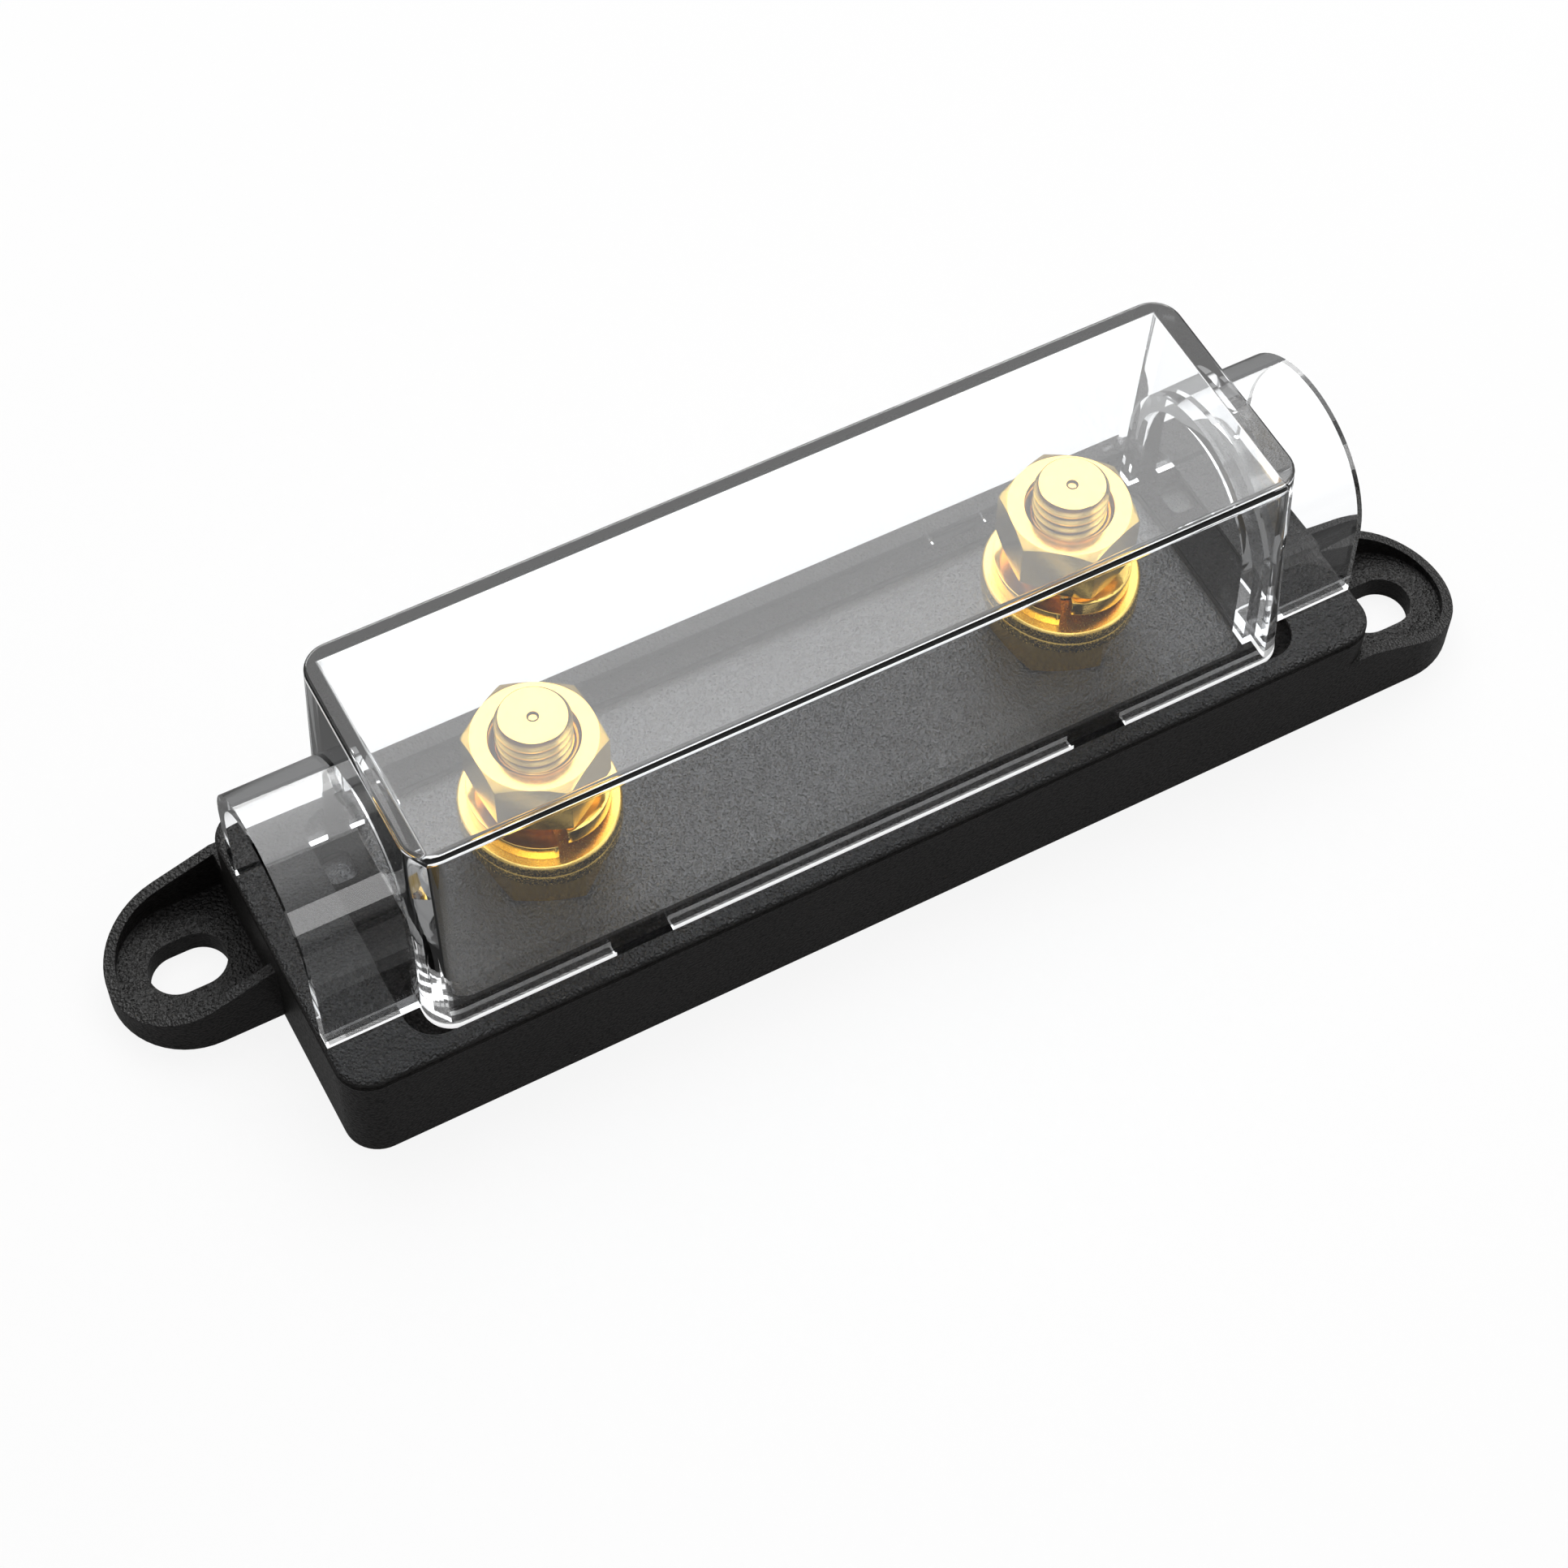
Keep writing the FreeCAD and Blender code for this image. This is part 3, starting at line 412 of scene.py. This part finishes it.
def make_gold(name, grit, roughness, shaded_valleys=None, pitted=False):
    """Gold plate over marks of a given size, with painted shade in thread valleys or pitted rims."""
    material, tree, output = new_material(name)
    place = add_node(tree, "ShaderNodeTexCoord")
    marks = add_node(tree, "ShaderNodeTexNoise", {
        "Vector": place.outputs["Object"], "Scale": 1 / grit, "Detail": 3.0})
    bump = add_node(tree, "ShaderNodeBump", {
        "Height": marks.outputs["Fac"], "Strength": 0.25, "Distance": 0.02 * MM})
    dull = add_node(tree, "ShaderNodeMapRange", {
        "Value": marks.outputs["Fac"], "To Min": roughness * 0.7, "To Max": roughness * 1.4})
    tone = add_node(tree, "ShaderNodeMix", {
        0: marks.outputs["Fac"], "A": linear("#f8ce6c"), "B": linear("#ffdb7e")},
        data_type="RGBA")
    if shaded_valleys:
        # painted shade: the valleys of a thread get a dark brown gold
        tone = add_node(tree, "ShaderNodeMix", {
            0: valley_shade_mask(tree, place, *shaded_valleys), "A": tone.outputs["Result"],
            "B": linear("#4a2806")}, data_type="RGBA")
    if pitted:
        tone = add_node(tree, "ShaderNodeMix", {
            0: rim_mask(tree, place, marks.outputs["Fac"]), "A": tone.outputs["Result"],
            "B": linear("#6b5426")}, data_type="RGBA")
    skin = add_node(tree, "ShaderNodeBsdfPrincipled", {
        "Base Color": tone.outputs["Result"], "Roughness": dull.outputs[0],
        "Metallic": 1.0, "Normal": bump.outputs[0]})
    tree.links.new(skin.outputs[0], output.inputs[0])
    return material


gold_bright = make_gold("gold_plated_brass", TURNED_GRIT, 0.16)
gold_rough = make_gold("gold_plated_brass_stamped", STAMPED_GRIT, 0.24, pitted=True)
gold_thread = make_gold("gold_plated_brass_threaded", TURNED_GRIT, 0.16, THREAD_VALLEY_SHADE)
print("made", gold_bright.name, gold_rough.name, gold_thread.name)

# %% [markdown]
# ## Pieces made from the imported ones
#
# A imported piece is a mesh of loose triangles, flat shaded. It stays as it is. A copy of it can
# be merged into whole faces, and its edges rounded by the tenth of a millimetre that tumbling
# and moulding leave on real edges, which is what draws the thin bright lines along them.

# %% Copies with soft edges
FLAT = math.radians(0.4)
SHARP = math.radians(24)
SMOOTH = 40


def merged_copy(node_name, name):
    """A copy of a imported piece, merged, with its flat faces whole."""
    source = frame["nodes"][node_name]
    thing = bpy.data.objects.new(name, source.data.copy())
    bpy.context.scene.collection.objects.link(thing)
    select_only(thing)
    bpy.ops.object.mode_set(mode="EDIT")
    bpy.ops.mesh.select_all(action="SELECT")
    bpy.ops.mesh.customdata_custom_splitnormals_clear()
    bpy.ops.mesh.remove_doubles(threshold=0.0005 * MM)
    bpy.ops.mesh.dissolve_limited(angle_limit=FLAT)
    bpy.ops.object.mode_set(mode="OBJECT")
    return thing


def soften_edges(thing, width):
    """Round every sharp edge a little."""
    apply_modifier(thing, "BEVEL", width=width, segments=2, limit_method="ANGLE",
                   angle_limit=SHARP, use_clamp_overlap=True)


def smooth_faces(thing, degrees):
    """Shade smooth up to an angle, with large flat faces kept flat beside their rounded edges."""
    select_only(thing)
    bpy.ops.object.shade_smooth_by_angle(angle=math.radians(degrees))
    apply_modifier(thing, "WEIGHTED_NORMAL", keep_sharp=True, weight=100)


BODY_OF = {}
for body_name, members in frame["record"]["behaviour"]["bodies"].items():
    for member in members:
        BODY_OF[member] = body_name
print("pieces that ride on a body:", len(BODY_OF))

# %% [markdown]
# ## Nuts and washers
#
# The nuts are formed from bar and tumbled, so their corners are a little round. The washers are
# stamped: their faces are smooth, and their rims show the pits of the torn metal. The packed
# pieces already have the right form, so a copy of each with soft edges is enough.

# %% Nuts and washers
FASTENERS = (
    ("top_nut", 0.12, gold_bright),
    ("lower_nut", 0.12, gold_bright),
    ("spring_washer", 0.12, gold_bright),
    ("flat_washer_upper", 0.1, gold_rough),
    ("flat_washer_lower", 0.1, gold_rough),
)

for side in ("left", "right"):
    for kind, edge, finish in FASTENERS:
        node_name = kind + "_" + side
        piece = merged_copy(node_name, node_name + "_plated")
        soften_edges(piece, edge * MM)
        smooth_faces(piece, SMOOTH)
        finish_piece(piece, finish, BODY_OF[node_name], node_name)

# %% [markdown]
# ## Threaded studs
#
# A stud is an M8 bolt, threaded up to its head. A stack of rings would look much like a thread
# from afar, but its lines wouldn't climb. One pitch of the thread is drawn as a short profile
# instead and wound up the bolt with a Screw modifier, which gives a true thread.

# %% The profile of one pitch
PITCH = 1.25
THREAD_ROOT = 3.28
THREAD_CREST = 3.97
PROFILE = (
    (THREAD_ROOT, 0.0), (THREAD_ROOT, 0.1), (3.58, 0.28), (3.88, 0.45), (THREAD_CREST, 0.55),
    (THREAD_CREST, 0.7), (3.88, 0.8), (3.58, 0.97), (THREAD_ROOT, 1.15), (THREAD_ROOT, PITCH),
)
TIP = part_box("stud_left")[1].z / MM
print("stud tip at", round(TIP, 2), "mm")

# %% Threaded rod
THREAD_STEPS = 48
ROD_FOOT = 8.6
ROD_SPARE = 0.6
JOIN = 0.001 * MM


def thread_rod(name):
    """A threaded rod on the Z axis, from below the foot to past the tip."""
    points = [(r * MM, 0, (ROD_FOOT - PITCH + z) * MM) for r, z in PROFILE]
    mesh = bpy.data.meshes.new(name)
    mesh.from_pydata(points, [(i, i + 1) for i in range(len(points) - 1)], [])
    rod = bpy.data.objects.new(name, mesh)
    bpy.context.scene.collection.objects.link(rod)
    turns = math.ceil((TIP - ROD_FOOT) / PITCH) + 3
    apply_modifier(rod, "SCREW", angle=2 * math.pi, screw_offset=PITCH * MM, iterations=turns,
                   steps=THREAD_STEPS, render_steps=THREAD_STEPS, use_merge_vertices=True,
                   merge_threshold=JOIN)
    bpy.ops.object.mode_set(mode="EDIT")
    bpy.ops.mesh.select_all(action="SELECT")
    bpy.ops.mesh.remove_doubles(threshold=JOIN)
    for level, upwards in ((ROD_FOOT, -1), (TIP + ROD_SPARE, 1)):
        bpy.ops.mesh.select_all(action="SELECT")
        bpy.ops.mesh.bisect(plane_co=(0, 0, level * MM), plane_no=(0, 0, upwards),
                            use_fill=True, clear_outer=True, threshold=0.0001 * MM)
    bpy.ops.mesh.select_all(action="SELECT")
    bpy.ops.mesh.normals_make_consistent(inside=False)
    bpy.ops.object.mode_set(mode="OBJECT")
    return rod


print("the thread winds", math.ceil((TIP - ROD_FOOT) / PITCH), "turns")

# %% [markdown]
# The end of a bolt is turned before the thread is rolled: it has a chamfer, and the mark that the
# lathe's centre left in the middle. Shaping them on the thread itself would mean work on hundreds
# of small faces, so a plain bar gets that end, and what rod and bar have in common is the stud.

# %% Turned blank
BLANK_RADIUS = 4.1
CHAMFER = 0.6
TIP_FACE = 2.85
MARK_RING = 0.12


def stud_blank(name):
    """A turned bar with a chamfered and centre-marked tip."""
    length = TIP - ROD_FOOT + 1
    bpy.ops.object.select_all(action="DESELECT")
    bpy.ops.mesh.primitive_cylinder_add(vertices=96, radius=BLANK_RADIUS * MM, depth=length * MM,
                                        location=(0, 0, (TIP - length / 2) * MM))
    blank = bpy.context.object
    blank.name = name
    bpy.ops.object.transform_apply(location=True, rotation=True, scale=True)
    top = TIP * MM - JOIN
    select_parts(blank, "polygons", lambda face: face.center.z > top and face.normal.z > 0.9)
    bpy.ops.mesh.inset(thickness=CHAMFER * MM)
    for inset, rise in ((TIP_FACE, -0.05), (MARK_RING, 0.1), (MARK_RING, -0.3)):
        bpy.ops.mesh.inset(thickness=inset * MM)
        bpy.ops.transform.translate(value=(0, 0, rise * MM))
    bpy.ops.object.mode_set(mode="OBJECT")
    for vertex in blank.data.vertices:
        if vertex.co.z > top and vertex.co.xy.length > (BLANK_RADIUS - 0.1) * MM:
            vertex.co.z -= CHAMFER * MM
    return blank


print("chamfer of", CHAMFER, "mm")

# %% [markdown]
# The hexagon head sits in its pocket below the base, and only its form matters. It is cut from
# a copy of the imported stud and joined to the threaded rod.

# %% Studs
HEAD_OVERLAP = 0.4
STUD_EDGE = 0.12


def cut_by(thing, tool, operation):
    """Combine a piece with a tool, and remove the tool."""
    apply_modifier(thing, "BOOLEAN", object=tool, operation=operation, solver="EXACT")
    bpy.data.objects.remove(tool)


for side in ("left", "right"):
    node_name = "stud_" + side
    low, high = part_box(node_name)
    axis = (low + high) / 2
    rod = thread_rod("stud_%s_threaded" % side)
    cut_by(rod, stud_blank("blank"), "INTERSECT")
    select_only(rod)
    rod.location = (axis.x, axis.y, 0)
    bpy.ops.object.transform_apply(location=True, rotation=True, scale=True)
    head = merged_copy(node_name, "head")
    bpy.ops.object.mode_set(mode="EDIT")
    bpy.ops.mesh.select_all(action="SELECT")
    bpy.ops.mesh.bisect(plane_co=(0, 0, (ROD_FOOT + HEAD_OVERLAP) * MM), plane_no=(0, 0, 1),
                        use_fill=True, clear_outer=True)
    bpy.ops.object.mode_set(mode="OBJECT")
    soften_edges(head, STUD_EDGE * MM)
    cut_by(rod, head, "UNION")
    smooth_faces(rod, SMOOTH)
    finish_piece(rod, gold_thread, BODY_OF[node_name], node_name)

# %% [markdown]
# ## Base
#
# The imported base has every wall, lug, slot and rib of the real one, so it keeps its form. Only its
# edges are softened, a little more than those of the metal, because plastic never quite fills the
# corners of its mould.

# %% Base
BASE_EDGE = 0.22

base = merged_copy("base", "base_moulded")
soften_edges(base, BASE_EDGE * MM)
smooth_faces(base, SMOOTH)
finish_piece(base, black_plastic, "base_body", "base")

# %% [markdown]
# ## Cover
#
# A clear moulding is drawn by its edges: each rounded edge is a little lens that shows a bright
# and a dark line. The walls of the real cover thin out towards the roof, so that it leaves the
# mould, and the fillet inside the roof's edge sets how wide those lines are. The inner edge of
# the roof is moved out and given that fillet, and then every sharp edge is softened. The
# normals are weighted last, because flat faces that bend even a little would bend the view.

# %% Cover, with thinned walls
ROOF_INSIDE = 40.45
WALL_THINNING = 0.85
INSIDE_FILLET = 0.35
SLACK = 0.02


def at_roof(point):
    """Whether a corner of the cover lies on the inside of its roof."""
    return abs(point.co.z - ROOF_INSIDE * MM) < SLACK * MM


cover = merged_copy("cover", "cover_moulded")
points = cover.data.vertices
for point in points:
    if at_roof(point):
        point.co.y += math.copysign(WALL_THINNING * MM, point.co.y)
select_parts(cover, "edges", lambda edge: all(at_roof(points[i]) for i in edge.vertices))
bpy.ops.mesh.bevel(offset=INSIDE_FILLET * MM, segments=4, clamp_overlap=True)
bpy.ops.object.mode_set(mode="OBJECT")
print("corners of the cover:", len(cover.data.vertices))

# %% [markdown]
# The ground band along the foot is part of the same moulding. It needs no piece of its own: the
# walls are cut along the edge of the band and beside the tongues, which stay clear, and the faces
# of the band then take the ground material with its painted glow.

# %% Cuts for the ground foot
FOOT_LEVEL = 13.1
FOOT_EDGE = 0.82
HOOD_FOOT_LEVEL = 13.9
HOOD_FOOT_EDGE = 0.45
TONGUE_X = 27.15
TONGUE_HALF = 3.25
COVER_EDGE = 0.2

cuts = [((0, 0, (FOOT_LEVEL + FOOT_EDGE) * MM), (0, 0, 1)),
        ((0, 0, (HOOD_FOOT_LEVEL + HOOD_FOOT_EDGE) * MM), (0, 0, 1))]
for x in (-TONGUE_X, TONGUE_X):
    for half in (-TONGUE_HALF, TONGUE_HALF):
        cuts.append((((x + half) * MM, 0, 0), (1, 0, 0)))
select_only(cover)
bpy.ops.object.mode_set(mode="EDIT")
for point, normal in cuts:
    bpy.ops.mesh.select_all(action="SELECT")
    bpy.ops.mesh.bisect(plane_co=point, plane_no=normal)
bpy.ops.object.mode_set(mode="OBJECT")
soften_edges(cover, COVER_EDGE * MM)
smooth_faces(cover, SMOOTH)
finish_piece(cover, clear_plastic, "cover_body", "cover")

# %% Ground faces of the cover
HOOD_ROOT = 50.7
END_FOOT = 47.5


def on_foot(face):
    """Whether a face of the cover lies along a front foot or under the left end."""
    x, z = abs(face.center.x) / MM, face.center.z / MM
    if face.center.x < -END_FOOT * MM and face.normal.z < -0.9 and z < FOOT_LEVEL + SLACK:
        return True
    if face.center.y > 0 or face.normal.y > 0.5:
        return False
    if x > HOOD_ROOT:
        return z < HOOD_FOOT_LEVEL + HOOD_FOOT_EDGE
    return FOOT_LEVEL - SLACK < z < FOOT_LEVEL + FOOT_EDGE and abs(x - TONGUE_X) > TONGUE_HALF


cover.data.materials.append(ground_foot_painted_glow)
foot_faces = [face for face in cover.data.polygons if on_foot(face)]
for face in foot_faces:
    face.material_index = 1
print("faces along the foot:", len(foot_faces))

# %% [markdown]
# ## Floor
#
# The holder lies on a sheet of white paper. What the camera sees of the sheet, straight or
# through a clear wall, is lifted towards white, so that the shadow stays and the rest reads as
# white paper. More light on the sheet would do that too, but it would wash out the holder. A
# reflection sees a dim sheet, as though dark cloths before the holder kept the light of the
# sheet out of its sides.

# %% Floor
SHEET = 3.0
SHEET_STRAIGHT = 1.03
SHEET_THROUGH = 1.18
SHEET_MIRRORED = 0.15
SHEET_LIFT = 0.85

bpy.ops.object.select_all(action="DESELECT")
bpy.ops.mesh.primitive_plane_add(size=SHEET, location=(0, 0, -0.02 * MM))
floor = bpy.context.object
floor.name = "floor"
bpy.ops.object.transform_apply(location=True, rotation=True, scale=True)
paper, tree, output = new_material("white_paper")
sheet_skin = add_node(tree, "ShaderNodeBsdfDiffuse", {"Color": linear("#f5f5f5")})
path = add_node(tree, "ShaderNodeLightPath")
seen = add_node(tree, "ShaderNodeMath", {
    0: path.outputs["Is Camera Ray"], 1: path.outputs["Is Glossy Ray"]}, operation="MAXIMUM")
seen = add_node(tree, "ShaderNodeMath", {
    0: seen.outputs[0], 1: path.outputs["Is Transmission Ray"]}, operation="MAXIMUM")
lift = add_node(tree, "ShaderNodeMath", {
    0: seen.outputs[0], 1: SHEET_LIFT}, operation="MULTIPLY")
mirrored = add_node(tree, "ShaderNodeMath", {
    0: path.outputs["Glossy Depth"], 1: 0.5}, operation="GREATER_THAN")
bright = add_node(tree, "ShaderNodeMix", {
    0: path.outputs["Is Camera Ray"], "A": SHEET_THROUGH, "B": SHEET_STRAIGHT},
    data_type="FLOAT")
bright = add_node(tree, "ShaderNodeMix", {
    0: mirrored.outputs[0], "A": bright.outputs[0], "B": SHEET_MIRRORED}, data_type="FLOAT")
lifted = add_node(tree, "ShaderNodeEmission", {
    "Color": linear("#ffffff"), "Strength": bright.outputs[0]})
mixed = add_node(tree, "ShaderNodeMixShader", {
    0: lift.outputs[0], 1: sheet_skin.outputs[0], 2: lifted.outputs[0]})
tree.links.new(mixed.outputs[0], output.inputs[0])
floor.data.materials.append(paper)
print("sheet of", SHEET, "m")

# %% [markdown]
# ## World
#
# The camera sees plain white behind the holder. What shines on the holder is a grey room, and
# what clear plastic and metal mirror is white card above, dark near the floor and dimmer behind
# the camera, because a mirror needs something dark to look like metal.

# %% World
ROOM = 0.35

world = bpy.data.worlds.new("studio")
bpy.context.scene.world = world
world.use_nodes = True
tree = world.node_tree
tree.nodes.clear()
output = add_node(tree, "ShaderNodeOutputWorld")
path = add_node(tree, "ShaderNodeLightPath")
around = add_node(tree, "ShaderNodeTexCoord")
height = add_node(tree, "ShaderNodeSeparateXYZ", {0: around.outputs["Generated"]})
cards = add_node(tree, "ShaderNodeMapRange", {
    "Value": height.outputs["Z"], "From Min": 0.06, "From Max": 0.2,
    "To Min": 0.03, "To Max": 1.0})
behind = add_node(tree, "ShaderNodeVectorMath", {
    0: around.outputs["Generated"], 1: (0.5, 0.87, 0.0)}, operation="DOT_PRODUCT")
behind = add_node(tree, "ShaderNodeMapRange", {
    "Value": behind.outputs["Value"], "From Min": -0.6, "From Max": -0.1,
    "To Min": 0.35, "To Max": 1.0})
cards = add_node(tree, "ShaderNodeMath", {
    0: cards.outputs[0], 1: behind.outputs[0]}, operation="MULTIPLY")
mirrored = add_node(tree, "ShaderNodeMath", {
    0: path.outputs["Is Glossy Ray"], 1: path.outputs["Is Transmission Ray"]},
    operation="MAXIMUM")
level = add_node(tree, "ShaderNodeMix", {
    0: mirrored.outputs[0], "A": ROOM, "B": cards.outputs[0]}, data_type="FLOAT")
level = add_node(tree, "ShaderNodeMath", {
    0: level.outputs[0], 1: path.outputs["Is Camera Ray"]}, operation="MAXIMUM")
sky = add_node(tree, "ShaderNodeBackground", {
    "Color": linear("#ffffff"), "Strength": level.outputs[0]})
tree.links.new(sky.outputs[0], output.inputs[0])
print("room light", ROOM)

# %% [markdown]
# ## Lamps
#
# Two soft boxes light the whole holder. The others are as a photographer's small reflectors,
# each held so that its image lies in one piece: in the metal, in the tray, in the roof, in the
# front or in the back of the cover. Light linking keeps each of them off the other pieces.

# %% A soft box and what it shines on
def soft_box(name, place, aim, width, height, power):
    """A rectangular lamp at a place in metres, turned to face a point."""
    data = bpy.data.lights.new(name, "AREA")
    data.shape = "RECTANGLE"
    data.size = width
    data.size_y = height
    data.energy = power
    lamp = bpy.data.objects.new(name, data)
    lamp.location = place
    lamp.rotation_euler = (Vector(aim) - Vector(place)).to_track_quat("-Z", "Y").to_euler()
    bpy.context.scene.collection.objects.link(lamp)
    return lamp


def shine_on(lamp, *things):
    """Let a lamp light only some pieces, and only by its mirror image in them."""
    lamp.light_linking.receiver_collection = bpy.data.collections.new(lamp.name + "_on")
    for thing in things:
        lamp.light_linking.receiver_collection.objects.link(thing)
    lamp.visible_diffuse = False
    lamp.visible_transmission = False


metal = [thing for thing in bpy.data.objects if thing.name.endswith(("_plated", "_threaded"))]
print("pieces of metal:", len(metal))

# %% Lamps
CENTRE = (0, 0, 0.02)
BACK_HIGH = (0.21, 0.37, 0.66)

soft_box("key", BACK_HIGH, CENTRE, 1.0, 0.8, 4.2)
soft_box("fill", (0.45, -0.35, 0.4), CENTRE, 0.4, 0.4, 0.5)
shine_on(soft_box("metal_sheen", BACK_HIGH, CENTRE, 1.0, 0.8, 11.5), *metal)
shine_on(soft_box("metal_spark", (-0.12, -0.2, 0.54), CENTRE, 0.2, 0.2, 3.2), *metal)
shine_on(soft_box("tray_sheen", BACK_HIGH, CENTRE, 0.4, 0.3, 10.0), base)
shine_on(soft_box("roof_sheen", BACK_HIGH, CENTRE, 1.0, 0.8, 6.5), cover)
shine_on(soft_box("front_sheen", (0.2, -0.55, 0.42), CENTRE, 1.2, 0.3, 4.5), cover)
shine_on(soft_box("back_sheen", (0.16, 0.75, 0.32), CENTRE, 1.2, 0.45, 8.5), cover)
bpy.context.scene.view_settings.view_transform = "Standard"

# %% [markdown]
# ## End

# %% End
print("scene built")
